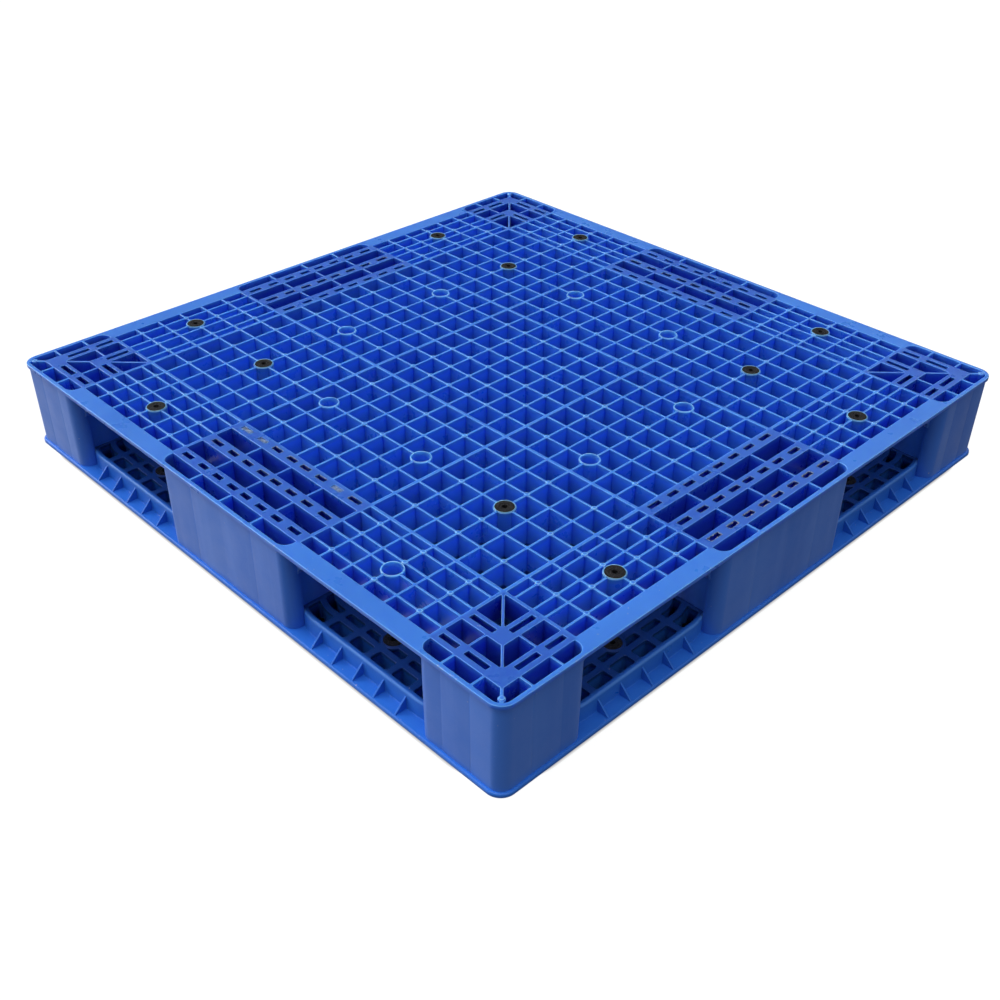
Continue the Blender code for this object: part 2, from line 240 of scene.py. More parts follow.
# -------- mesh builder
class Builder:
    """Closed shells made of rings at one height, bands between rings and flat caps. Each point carries how
    much painted highlight it gets, and stretches of thin flash are marked pale, for the materials."""

    def __init__(self):
        self.points = []
        self.faces = []
        self.pale = []
        self.painted_highlight = []

    def ring(self, loop, z, painted_highlight=0.0):
        start = len(self.points)
        self.points += [(x, y, z) for x, y in loop]
        self.painted_highlight += [painted_highlight] * len(loop)
        return list(range(start, start + len(loop)))

    def band(self, a, b):
        """Quads between two rings of the same number of points."""
        count = len(a)
        self.faces += [(a[i], a[(i + 1) % count], b[(i + 1) % count], b[i]) for i in range(count)]

    def stack(self, levels):
        """Rings at each (outline, height, painted highlight), joined in turn; gives the first and the last
        ring.
        """
        rings = [self.ring(*level) for level in levels]
        for a, b in zip(rings, rings[1:]):
            self.band(a, b)
        return rings[0], rings[-1]

    def cap(self, outer, holes=()):
        """Triangles between an outer ring and the rings inside it."""
        loops = [outer] + list(holes)
        order = [index for loop in loops for index in loop]
        flat = [Vector(self.points[index][:2]) for index in order]
        faces = []
        start = 0
        for loop in loops:
            faces.append(list(range(start, start + len(loop))))
            start += len(loop)
        _, _, triangles, sources, _, owners = delaunay_2d_cdt(flat, [], faces, 0, 1e-5, True)
        sources = [min(found) if found else None for found in sources]
        for triangle, inside in zip(triangles, owners):
            if list(inside) == [0]:
                self.faces.append(tuple(order[sources[i]] for i in triangle))

    def add(self, points, faces):
        """Other points and the faces between them, counted from the first of these points."""
        start = len(self.points)
        self.points += points
        self.painted_highlight += [0.0] * len(points)
        self.faces += [tuple(start + i for i in face) for face in faces]

    def mark_pale(self, start, value):
        """The points made since the start are flash, pale by that value."""
        self.pale.append((start, len(self.points), value))

    def make(self, name, material, spin=0.0):
        """The mesh object, turned by the spin about the middle of the pallet."""
        mesh = bpy.data.meshes.new(name)
        mesh.from_pydata([(x * MM, y * MM, z * MM) for x, y, z in self.points], [], self.faces)
        work = bmesh.new()
        work.from_mesh(mesh)
        bmesh.ops.recalc_face_normals(work, faces=work.faces)
        if spin:
            bmesh.ops.rotate(work, verts=work.verts, matrix=Matrix.Rotation(spin, 3, "Z"))
        work.to_mesh(mesh)
        work.free()
        mesh.shade_smooth()
        pale = mesh.attributes.new("pale", "FLOAT", "POINT")
        for start, end, value in self.pale:
            for index in range(start, end):
                pale.data[index].value = value
        # The painted highlight of each point, for the materials: a paler blue painted on rounded edges.
        mesh.attributes.new("painted_highlight", "FLOAT", "POINT").data.foreach_set("value", self.painted_highlight)
        obj = bpy.data.objects.new(name, mesh)
        bpy.context.scene.collection.objects.link(obj)
        mesh.materials.append(material)
        shading = obj.modifiers.new("flat_faces", "WEIGHTED_NORMAL")
        shading.weight = 80
        shading.keep_sharp = False
        return obj


def edge_levels(loop, z, edge, sign, painted_highlight=1.0):
    """The rings that round an upper edge, with a painted highlight along it: sign 1 for a hole's edge, -1 for
    an outline's.
    """
    return [
        (grown(loop, sign * edge), z),
        (grown(loop, sign * 0.3 * edge), z - 0.3 * edge, painted_highlight),
        (loop, z - edge),
    ]


# -------- tubes, nubs and cells
def plug_spots(row):
    side = [(RING_LINE, row), (-RING_LINE, row)]
    inner = [(RING_LINE, RING_LINE)]
    return [turned([spot], quarter)[0] for quarter in range(4) for spot in side + inner]


def empty_spots():
    pair = [(LINES[2], RING_LINE), (-LINES[2], RING_LINE)]
    return [turned([spot], quarter)[0] for quarter in range(4) for spot in pair]


TUBES = plug_spots(RING_ROW) + empty_spots()
BASE_TUBES = plug_spots(BASE_RING_ROW)


def near(value, others):
    """Whether the value is within a millimetre of one of the others."""
    return any(abs(value - other) < 1 for other in others)


def is_nub(x, y):
    """Whether a crossing has a small raised dot: on every other rib line, and on more of them in places."""
    ax, ay = abs(x), abs(y)
    even, first = LINES[0:9:2], LINES[:3]
    rows, lane = (EDGE_ROWS[1], EDGE_ROWS[2], EDGE_ROWS[4]), (LINES[4], LINES[6], LINES[8])
    beside = (LINES[5], LINES[7])
    if any(math.hypot(x - tx, y - ty) < 1 for tx, ty in TUBES):
        return False
    return (
        (near(ax, even) and near(ay, even))
        or (near(ax, first) and near(ay, first))
        or (near(ax, (RING_LINE, RING_ROW)) and near(ay, beside))
        or (near(ax, rows) and near(ay, lane))
        or (near(ay, rows) and near(ax, lane))
    )


def half_rib(line):
    return (THICK_RIB if near(abs(line), (LEG_LINE, GRID_EDGE)) else RIB) / 2


def cell_corner(x, y, sx, sy, halves, radius, steps):
    """A cell's corner at the crossing (x, y): round a post of that radius, or else a small fillet."""
    hx, hy = halves
    if radius:
        start, end = math.acos(hx / radius), math.asin(hy / radius)
        turns = [start + (end - start) * k / steps for k in range(steps + 1)]
        points = [(x + sx * radius * math.cos(a), y + sy * radius * math.sin(a)) for a in turns]
    else:
        cx, cy = x + sx * (hx + FILLET), y + sy * (hy + FILLET)
        turns = [math.pi / 2 * k / steps for k in range(steps + 1)]
        points = [(cx - sx * FILLET * math.cos(a), cy - sy * FILLET * math.sin(a)) for a in turns]
    return points if sx * sy > 0 else points[::-1]


def cell(x0, x1, y0, y1, half, post):
    """The opening between four rib lines, as its outline at the top and the one below the nubs. half gives
    half the width of the rib on a line, and post what stands at a crossing."""
    upper, lower = [], []
    for x, y, sx, sy in ((x0, y0, 1, 1), (x1, y0, -1, 1), (x1, y1, -1, -1), (x0, y1, 1, -1)):
        radius, steps, short = post(x, y)
        halves = (half(x), half(y))
        upper += cell_corner(x, y, sx, sy, halves, radius, steps)
        lower += cell_corner(x, y, sx, sy, halves, 0.0 if short else radius, steps)
    return upper, lower


def deck_post(x, y):
    """(radius, steps, whether it is short) of what stands at a crossing of the deck."""
    if any(math.hypot(x - tx, y - ty) < 1 for tx, ty in TUBES):
        return TUBE_R, 8, False
    if is_nub(x, y):
        return NUB_R, 4, True
    return 0.0, 2, False


def deck_cells():
    """Pairs of outlines (at the top, lower down) of every plain cell of the deck."""
    spans = list(zip(ALL_LINES, ALL_LINES[1:]))
    pairs = [cell(x0, x1, y0, y1, half_rib, deck_post) for x0, x1 in spans for y0, y1 in spans]
    columns = list(zip(LINES[3:], LINES[4:]))
    columns += [(-x1, -x0) for x0, x1 in columns]
    rows = list(zip(EDGE_ROWS, EDGE_ROWS[1:]))
    side = [(x0, x1, y0, y1) for x0, x1 in columns for y0, y1 in rows]
    for quarter in range(4):
        for x0, x1, y0, y1 in side:
            (ax, ay), (bx, by) = turned([(x0, y0), (x1, y1)], quarter)
            box = (min(ax, bx), max(ax, bx), min(ay, by), max(ay, by))
            pairs.append(cell(*box, half_rib, deck_post))
    return pairs


def leg_cells():
    """Open cells over a middle leg, between the flat strips."""
    inner = (RIB / 2, LEG_CROSS_RIB - RIB / 2)
    outer = (LEG_CROSS_RIB + RIB / 2, LEG_LINE - THICK_RIB / 2)
    right = [rounded(rectangle(*inner, *row), FILLET) for row in STRIP_CELLS]
    right += [rounded(rectangle(*outer, *row), FILLET) for row in STRIP_CELLS[:2]]
    y0, y1 = STRIP_CELLS[2]
    radius = y1 - POST_BACK
    end = arc((outer[1] - radius, POST_BACK), radius, 0, 90, 6)
    right.append(rounded([(outer[0], y0), (outer[1], y0)] + end + [(outer[0], y1)], FILLET))
    return right + [flipped(loop) for loop in right]


def corner_cells():
    """Open cells over a corner leg, between L-shaped strips and split by ribs on the diagonal."""
    start = GRID_EDGE + THICK_RIB / 2
    lean = DIAGONAL_RIB / math.sqrt(2)
    half = RIB / 2
    first, second = CORNER_CROSS_RIBS
    inner = STRIP_CELLS[0][1]
    arm = [[(start, start + lean), (inner - lean, inner), (start, inner)]]
    y0, y1 = STRIP_CELLS[1]
    arm.append(rectangle(start, first - half, y0, y1))
    arm.append([(first + half, y0), (y0 - lean, y0), (y1 - lean, y1), (first + half, y1)])
    y0, y1 = STRIP_CELLS[2]
    radius = y1 - POST_BACK
    post = arc((start + radius, POST_BACK), radius, 90, 180, 6)
    arm.append([(start, y0), (first - half, y0), (first - half, y1)] + post)
    arm.append(rectangle(first + half, second - half, y0, y1))
    boss = arc((CORNER_BOSS, CORNER_BOSS), CORNER_BOSS_R, 200, 72, 6)
    far = arc((POST_BACK, POST_BACK), radius, 54, 90, 3)
    arm.append([(second + half, y0), (y0 - lean, y0)] + boss + far + [(second + half, y1)])
    arm = [rounded(loop, FILLET, 2, 40.0) for loop in arm]
    return arm + [swapped(loop) for loop in arm]


def slot_flash(quarter, row, x):
    """Moulding flash in a slot over a middle leg: its reach, or "shut". There is more of it on two sides."""
    front, right = quarter == 2, quarter == 3
    if front and row == 0:
        return "shut" if near(-x, CLOSED_SLOTS) else 1.3
    if right and row == 2:
        return 2.2
    return 0.8 if row == 1 or right else 0.0


def slots():
    """Slots in the flat strips, and the flash in each."""
    found = []
    for quarter in range(4):
        for row, (y0, y1) in enumerate(SLOT_ROWS):
            for x0, x1 in SLOT_SPANS:
                for a, b in ((x0, x1), (-x1, -x0)):
                    loop = ccw(turned(rounded(rectangle(a, b, y0, y1), SLOT_R), quarter))
                    found.append((loop, slot_flash(quarter, row, (a + b) / 2)))
        for (y0, y1), spans in zip(SLOT_ROWS[1:], CORNER_SLOTS):
            for x0, x1 in spans:
                loop = rounded(rectangle(x0, x1, y0, y1), SLOT_R)
                found.append((ccw(turned(loop, quarter)), 0.0))
                found.append((ccw(turned(swapped(loop), quarter)), 0.0))
    return found


def wall_below_lip():
    """The deck's outline under its lip: at the entries the last rib, at the legs just behind their faces."""
    wall = EDGE_ROWS[-1] + RIB / 2
    inner = POST_R - SHELL - 2 * GAP
    end = POST_BACK - POST_RUN - GAP
    side = arc((POST_SIDE - POST_R, POST_BACK), inner, 90, 0, 8)
    side += [(side[-1][0], end), (POST_SIDE, end), (POST_SIDE, wall)]
    side += [(CORNER_SIDE, wall), (CORNER_SIDE, end)]
    far = arc((CORNER_SIDE + POST_R, POST_BACK), inner, 180, 90, 8)
    side += [(far[0][0], end)] + far
    half = [(-x, y) for x, y in side[::-1]] + side
    loop = []
    for quarter in (0, 3, 2, 1):
        loop += turned(half + arc((POST_BACK, POST_BACK), inner, 90, 0, 8)[1:-1], quarter)
    return ccw(loop)


# -------- the top deck
def add_deck_openings(build):
    """The walls of every cell and slot; gives their rings at the top and at the bottom of the deck."""
    ends = []
    for upper, lower in deck_cells():
        levels = edge_levels(upper, TOP, DECK_EDGE, 1)
        if upper != lower:
            levels += [(upper, TOP - NUB_DEEP), (lower, TOP - NUB_DEEP - 0.8)]
        ends.append(build.stack(levels + [(grown(lower, DRAFT), DECK_BOTTOM)]))
    for loop in all_round(leg_cells() + corner_cells()):
        levels = edge_levels(loop, TOP, DECK_EDGE, 1)
        ends.append(build.stack(levels + [(grown(loop, DRAFT), DECK_BOTTOM)]))
    for loop, flash in slots():
        pocket = [(grown(loop, 4.0), TOP - SKIN - 0.4), (grown(loop, 4.3), DECK_BOTTOM)]
        ends.append(build.stack(edge_levels(loop, TOP, 0.5, 1) + [(loop, TOP - SKIN)] + pocket))
        if flash == "shut":
            film(build, grown(loop, 0.3), TOP - 1.4)
        elif flash:
            ragged_edge(build, loop, TOP - 0.55, flash)
    return [first for first, _ in ends], [last for _, last in ends]


def add_tube(build, spot):
    """A tube's rim above the deck, the seat for a plug's head and the bore."""
    rim = TUBE_R - DECK_EDGE - 0.3
    # (radius, height, painted highlight) of each ring; the rim's rounding gets a painted highlight.
    profile = (
        (rim, TOP, 0.0), (rim, TOP + 0.6, 0.7), (rim - 0.3, TOP + TUBE_RISE, 1.0),
        (SEAT_R + 0.3, TOP + TUBE_RISE, 1.0), (SEAT_R, TOP + 0.6, 0.5),
        (SEAT_R, TOP - SEAT_DEEP, 0.0), (BORE_R, TOP - SEAT_DEEP - 0.4, 0.0),
        (BORE_R - 0.3, DECK_BOTTOM, 0.0),
    )
    return build.stack([(circle(spot, r, 40), z, painted_highlight) for r, z, painted_highlight in profile])


def nub_spots():
    """Crossings of the grid and of the edge rows that have a nub, and the four corner bosses."""
    spots = {(x, y) for x in ALL_LINES for y in ALL_LINES if is_nub(x, y)}
    for quarter in range(4):
        for x in ALL_LINES:
            for y in EDGE_ROWS[1:5]:
                spot = turned([(x, y)], quarter)[0]
                if LEG_LINE < abs(x) < GRID_EDGE and is_nub(*spot):
                    spots.add((round(spot[0], 3), round(spot[1], 3)))
        spots.add(turned([(CORNER_BOSS, CORNER_BOSS)], quarter)[0])
    return sorted(spots)


def add_nub(build, spot):
    """A low dome; gives the ring at its foot."""
    foot = NUB_R - DECK_EDGE - GAP
    # (how far in from the foot, share of the rise, painted highlight)
    shape = ((0.0, 0.0, 0.0), (0.05, 0.6, 1.0), (0.3, 0.9, 2.0), (0.9, 1.0, 0.4), (1.9, 0.9, 0.0))
    first, last = build.stack(
        [(circle(spot, foot - cut, 16), TOP + NUB_RISE * up, painted_highlight) for cut, up, painted_highlight in shape])
    build.cap(last)
    return first


def make_deck(material):
    build = Builder()
    top_holes, bottom_holes = add_deck_openings(build)
    for spot in TUBES:
        first, last = add_tube(build, spot)
        top_holes.append(first)
        bottom_holes.append(last)
    top_holes += [add_nub(build, spot) for spot in nub_spots()]

    outline = rounded_square(HALF, CORNER_R, 12)
    lip_low = TOP - LIP
    levels = edge_levels(outline, TOP, 1.0, -1)
    levels += [(outline, lip_low + 0.5), (grown(outline, -0.5), lip_low)]
    first, last = build.stack(levels)
    build.cap(first, top_holes)
    wall = wall_below_lip()
    wall_top, wall_bottom = build.stack([(wall, lip_low), (grown(wall, -0.3), DECK_BOTTOM)])
    build.cap(last, [wall_top])
    build.cap(wall_bottom, bottom_holes)
    return build.make("deck_moulding", material)


def film(build, loop, z):
    """A thin wrinkled film of flash that closes a slot just under the surface."""
    start = len(build.points)
    loop = [p for a, b in zip(loop, loop[1:] + loop[:1]) for p in split(a, b, 2.0)]
    low, rings = build.ring(loop, z - 0.5), [build.ring(loop, z)]
    build.band(low, rings[0])
    build.cap(low)
    xs, ys = [x for x, _ in loop], [y for _, y in loop]
    middle = ((min(xs) + max(xs)) / 2, (min(ys) + max(ys)) / 2)
    for share in (0.85, 0.68, 0.5, 0.3, 0.12):
        inner = [tuple(m + (v - m) * share for m, v in zip(middle, point)) for point in loop]
        ring = build.ring(inner, z)
        for index in ring:
            x, y, _ = build.points[index]
            build.points[index] = (x, y, z + CHANCE.uniform(-0.9, 0.9))
        build.band(rings[-1], ring)
        rings.append(ring)
    build.cap(rings[-1])
    build.mark_pale(start, 0.25)


def split(a, b, step):
    """Points along an edge, about a step apart, without its end."""
    count = max(1, round(math.dist(a, b) / step))
    return [tuple(p + (q - p) * k / count for p, q in zip(a, b)) for k in range(count)]


def ragged_edge(build, loop, z, reach):
    """Flash round the inside of a slot: a thin ragged lip that narrows it here and there."""
    start = len(build.points)
    loop = [p for a, b in zip(loop, loop[1:] + loop[:1]) for p in split(a, b, 1.6)]
    outer = grown(loop, 0.4)
    shares = [CHANCE.uniform(0.1, 1.0) ** 2 for _ in loop]
    inner = grown(loop, -reach, shares)
    rings = [build.ring(outer, z), build.ring(inner, z - 0.1), build.ring(inner, z - 0.35),
             build.ring(outer, z - 0.6)]
    for a, b in zip(rings, rings[1:] + rings[:1]):
        build.band(a, b)
    build.mark_pale(start, 1.0)


# -------- legs
def middle_body(side, face, inset):
    """Plan of a middle leg behind its face shell, at +Y."""
    radius = POST_R - inset
    end = face - POST_R - POST_RUN
    right = arc((side - POST_R, face - POST_R), radius, 90, 0, 8)
    right += [(side - inset, end), (BLOCK, end), (BLOCK, BLOCK + LANE)]
    return ccw(right + [(-x, y) for x, y in right[::-1]])


def panelled(x0, x1, face, ribs):
    """Points along a face from x0 to x1. It bulges between the ribs behind it, with a crease at each rib."""
    first, pitch = ribs[0], ribs[1] - ribs[0]
    shares = [0.0, CREASE_HALF / pitch] + [k / 10 for k in range(1, 10)] + [1 - CREASE_HALF / pitch]
    points = []
    for panel in range(-1, 3):
        for share in shares:
            x = first + (panel + share) * pitch
            if x0 < x < x1:
                points.append((x, face - BULGE * (2 * share - 1) ** 2 - (0.0 if share else CREASE)))
    return points


def middle_shell(side, face):
    """Plan of a middle leg's outer face, a strip that wraps round both posts."""
    centre = (side - POST_R, face - POST_R)
    end = centre[1] - POST_RUN
    outer = [(side, end)] + arc(centre, POST_R, 0, 90, 10)
    outer += panelled(0.0, POST_SIDE - POST_R - PANEL_MARGIN, face, (0.0, LEG_CROSS_RIB))[::-1]
    inner = arc(centre, POST_R - SHELL, 90, 0, 10) + [(side - SHELL, end)]
    return ccw(outer + [(-x, y) for x, y in outer[::-1]] + [(-x, y) for x, y in inner[::-1]] + inner)


def corner_body(side, face, inset):
    """Plan of a corner leg behind its face shell, at +X +Y."""
    start = BLOCK + LANE
    radius = POST_R - inset
    back = face - POST_R
    arm = arc((back, back), radius, 45, 90, 5)
    arm += arc((side + POST_R, back), radius, 90, 180, 8)
    arm += [(side + inset, back - POST_RUN), (start, back - POST_RUN)]
    return ccw(arm + [(start, start)] + swapped(arm)[:0:-1])


def corner_shell(side, face):
    """Plan of a corner leg's outer face, which wraps round the corner and the posts on both sides."""
    back = face - POST_R
    ends = (CORNER_SIDE + POST_R + PANEL_MARGIN, POST_BACK - PANEL_MARGIN)
    panels = panelled(*ends, face, CORNER_CROSS_RIBS)
    outer = arc((back, back), POST_R, 45, 90, 6) + panels[::-1]
    outer += arc((side + POST_R, back), POST_R, 90, 180, 10)
    outer.append((side, back - POST_RUN))
    radius = POST_R - SHELL
    inner = [(side + SHELL, back - POST_RUN)]
    inner += arc((side + POST_R, back), radius, 180, 90, 10) + arc((back, back), radius, 90, 45, 6)
    return ccw(outer + inner[:-1] + swapped(inner)[::-1] + swapped(outer)[:0:-1])


def chambers(x_walls, y_walls):
    """The hollows between walls on these lines."""
    half = LEG_WALL / 2
    return [
        rounded(rectangle(x0 + half, x1 - half, y0 + half, y1 - half), 2.0)
        for x0, x1 in zip(x_walls, x_walls[1:])
        for y0, y1 in zip(y_walls, y_walls[1:])
    ]


def leg_bracket(build, along, sign):
    """A small concave web under the deck where an entry meets a post; sign is the way it points."""
    low, high = DECK_BOTTOM - BRACKET_R, DECK_BOTTOM - GAP
    bend = arc((BRACKET_R, low), BRACKET_R, 180, 90, 6)
    profile = [(-1.0, low)] + bend[:-1] + [(BRACKET_R, high), (-1.0, high)]
    depths = (EDGE_ROWS[-1] - RIB / 2, POST_BACK - 0.15)
    count = len(profile)
    points = [(along + sign * x, y, z) for y in depths for x, z in profile]
    sides = [(i, (i + 1) % count, count + (i + 1) % count, count + i) for i in range(count)]
    build.add(points, sides + [tuple(range(count)), tuple(range(count, 2 * count))])


def leg_plans(kind, side):
    """A leg's chambers, then its body's plan and its face shell's, each at the foot and at the deck."""
    edge = BLOCK - LEG_WALL / 2
    inner = BLOCK + LANE + LEG_WALL / 2
    strip = (STRIP_CELLS[0][1] + STRIP_CELLS[1][0]) / 2
    far = POST_BACK + POST_R - SHELL - LEG_WALL / 2 - TAPER
    if kind == "centre":
        walls = (-edge, -edge / 3, edge / 3, edge)
        bodies = [rounded(rectangle(-h, h, -h, h), 6.0, 4) for h in (BLOCK - TAPER, BLOCK)]
        return chambers(walls, walls), bodies, []
    if kind == "middle":
        holes = chambers((-edge, -LEG_CROSS_RIB, 0.0, LEG_CROSS_RIB, edge), (inner, strip, far))
        bodies = [middle_body(side - t, LEG_FACE - t, SHELL + GAP) for t in (TAPER, 0.0)]
        return holes, bodies, [middle_shell(side - t, LEG_FACE - t) for t in (TAPER, 0.0)]
    walls = (inner, strip, POST_BACK)
    bodies = [corner_body(side + t, LEG_FACE - t, SHELL + GAP) for t in (TAPER, 0.0)]
    return chambers(walls, walls), bodies, [corner_shell(side + t, LEG_FACE - t) for t in (TAPER, 0.0)]


def make_leg(name, kind, quarter, material):
    low, high = node_low(name, 2) - LEG_SINK, node_high(name, 2)
    build = Builder()
    side = POST_SIDE if kind == "middle" else CORNER_SIDE
    holes, bodies, shells = leg_plans(kind, side)
    ends = [build.stack([(hole, low), (hole, high)]) for hole in map(ccw, holes)]
    first, last = build.stack([(bodies[0], low), (bodies[1], high)])
    build.cap(first, [a for a, _ in ends])
    build.cap(last, [b for _, b in ends])
    if shells:
        first, last = build.stack([(shells[0], low), (shells[1], TOP - LIP - GAP)])
        build.cap(first)
        build.cap(last)
    if kind == "middle":
        leg_bracket(build, side, 1)
        leg_bracket(build, -side, -1)
    if kind == "corner":
        leg_bracket(build, side, -1)
        other = Builder()
        leg_bracket(other, side, -1)
        build.add([(y, x, z) for x, y, z in other.points], other.faces)
    return build.make(name.replace("leg_", "leg_moulding_"), material, quarter * math.pi / 2)


# (node, kind, quarter turns from the +Y side or the +X +Y corner)
LEGS = [("leg_back_middle", "middle", 0), ("leg_middle_left", "middle", 1),
        ("leg_front_middle", "middle", 2), ("leg_middle_right", "middle", 3),
        ("leg_back_right", "corner", 0), ("leg_back_left", "corner", 1),
        ("leg_front_left", "corner", 2), ("leg_front_right", "corner", 3),
        ("leg_centre", "centre", 0)]


# -------- the base
def panel_outline():
    """The raised panel: a square with curved rims at the entries and a pocket round each outer leg. Also
    gives how much of the rim's rounding each point gets: all of it at the entries, little at a pocket."""
    near_side = BLOCK + POCKET_GAP
    far_side = BLOCK + LANE - POCKET_GAP
    meet = 180 - math.degrees(math.acos((RIM_BEND - near_side) / RIM_R))
    bend = arc((RIM_BEND, RIM - RIM_R), RIM_R, meet, 90, 12)
    half = [(near_side, far_side)] + bend + [(2 * LANE - x, y) for x, y in bend[::-1]]
    side = [(-far_side, far_side)] + [(-x, y) for x, y in half[::-1]] + half
    loop = ccw([point for quarter in (0, 3, 2, 1) for point in turned(side, quarter)])
    shares = []
    for x, y in loop:
        outer, inner = max(abs(x), abs(y)), min(abs(x), abs(y))
        at_pocket = outer < BLOCK + LANE or near(inner, (near_side, far_side))
        shares.append(0.2 if at_pocket else 1.0)
    return loop, shares


def end_opening(row):
    """The opening at the end of a row, which follows the bend of the rim."""
    y0, y1 = row
    centre = (RIM_BEND, RIM - RIM_R)
    start = LINES[4] - BASE_RIB / 2
    outer, inner = y1 - centre[1], y0 - centre[1]
    turn = [180 - math.degrees(math.acos((RIM_BEND - ROW_END) / r)) for r in (outer, inner)]
    bends = arc(centre, outer, 90, turn[0], 5) + arc(centre, inner, turn[1], 90, 5)
    return [(start, y0), (start, y1)] + bends


def third_row():
    """Openings behind the rings; the outer ones have a corner that follows the bend of the rim."""
    y0, y1 = ROW_3
    half = BASE_RIB / 2
    a, b = LINES[3] + half, LINES[4] - half
    radius = y1 - RIM + RIM_R
    turn = 180 - math.degrees(math.acos((RIM_BEND - a) / radius))
    end = [(a, y0), (b, y0), (b, y1)] + arc((RIM_BEND, RIM - RIM_R), radius, 90, turn, 4)
    top = BASE_RING_ROW - BASE_TUBE_R - 1.5
    return [end, rectangle(b + BASE_RIB, LINES[5] - half, y0, y1),
            rectangle(LINES[5] + half, RING_LINE - half, y0, top)]


def base_row(row, ring):
    """Openings of half a row of an entry. Those of the second row end round the ring of a plug."""
    y0, y1 = row
    half = BASE_RIB / 2
    found = [rectangle(x0 + half, x1 - half, y0, y1) for x0, x1 in zip(LINES[4:6], LINES[5:7])]
    if ring:
        radius = BASE_TUBE_R + 1.5
        turns = [180 - math.degrees(math.asin((y - BASE_RING_ROW) / radius)) for y in row]
        found[1][1:3] = arc((RING_LINE, BASE_RING_ROW), radius, *turns, 5)
    return found + [end_opening(row)]


def mirrored(loops):
    """The same shapes on the other side of the middle of an entry."""
    return [[(2 * RING_LINE - x, y) for x, y in loop] for loop in loops]


def base_half(_):
    """Half a rib's width, the same on every line."""
    return BASE_RIB / 2


def base_post(x, y):
    """(radius, steps, whether it is short) of what stands at a crossing of the base."""
    if any(math.hypot(x - tx, y - ty) < 1 for tx, ty in BASE_TUBES):
        return BASE_TUBE_R + 1.0, 6, False
    return 0.0, 2, False


def base_openings():
    """Four rows of openings at each entry, and the grid between them, which stops at the centre leg."""
    rows = base_row(ROW_1, False) + base_row(ROW_2, True) + third_row()
    half = BASE_RIB / 2
    rows += [rectangle(x0 + half, x1 - half, *ROW_4) for x0, x1 in zip(LINES[3:6], LINES[4:7])]
    rows = [rounded(ccw(loop), 4.0, 3, 40.0) for loop in rows + mirrored(rows)]
    loops = all_round(rows + [flipped(loop) for loop in rows])
    for x0, x1 in zip(ALL_LINES, ALL_LINES[1:]):
        for y0, y1 in zip(ALL_LINES, ALL_LINES[1:]):
            cx, cy = abs(x0 + x1) / 2, abs(y0 + y1) / 2
            if (cx < LEG_LINE and cy < LEG_LINE) or max(cx, cy) > GRID_EDGE:
                continue
            loops.append(cell(x0, x1, y0, y1, base_half, base_post)[0])
    return loops


def gusset(x):
    """A triangular fin between the rim and the flange at +Y, with eased edges: its points and faces."""
    inner, reach, low = RIM - 1.0, LEG_FACE + 0.5, FLANGE - 0.6
    high = low + reach - inner
    profile = ((inner, low), (reach, low), (reach, low + 1.0), (inner + 1.2, high), (inner, high))
    count = len(profile)
    middle = Vector((sum(y for y, _ in profile), sum(z for _, z in profile))) / count
    wide, ease = 1.5, 0.5
    points = []
    for offset, shrink in ((-wide, 0.8 * ease), (ease - wide, 0.0), (wide - ease, 0.0), (wide, 0.8 * ease)):
        for point in profile:
            y, z = Vector(point) + (middle - Vector(point)).normalized() * shrink
            points.append((x + offset, y, z))
    faces = [tuple(range(count)), tuple(range(3 * count, 4 * count))]
    for layer in range(3):
        for i in range(count):
            a, b = layer * count + i, layer * count + (i + 1) % count
            faces.append((a, b, b + count, a + count))
    return points, faces


def add_base_openings(build):
    """The walls of the openings and the tubes; gives their rings at the top and at the bottom."""
    ends = []
    for loop in base_openings():
        levels = edge_levels(loop, PANEL_TOP, 0.8, 1, 0.0)
        levels += [(loop, PANEL_TOP - BASE_SKIN), (grown(loop, POCKET_GROW), PANEL_TOP - BASE_SKIN - 0.4)]
        ends.append(build.stack(levels + [(grown(loop, POCKET_GROW + 0.3), 0.0)]))
    for spot in BASE_TUBES:
        rim = BASE_TUBE_R - 1.4
        profile = (
            (rim, PANEL_TOP), (rim - 0.2, PANEL_TOP + 0.7), (SEAT_R + 0.4, PANEL_TOP + 0.7),
            (SEAT_R, PANEL_TOP + 0.3), (SEAT_R, PANEL_TOP - SEAT_DEEP),
            (BORE_R, PANEL_TOP - SEAT_DEEP - 0.4), (BORE_R, 0.0),
        )
        ends.append(build.stack([(circle(spot, r, 40), z) for r, z in profile]))
    return [first for first, _ in ends], [last for _, last in ends]


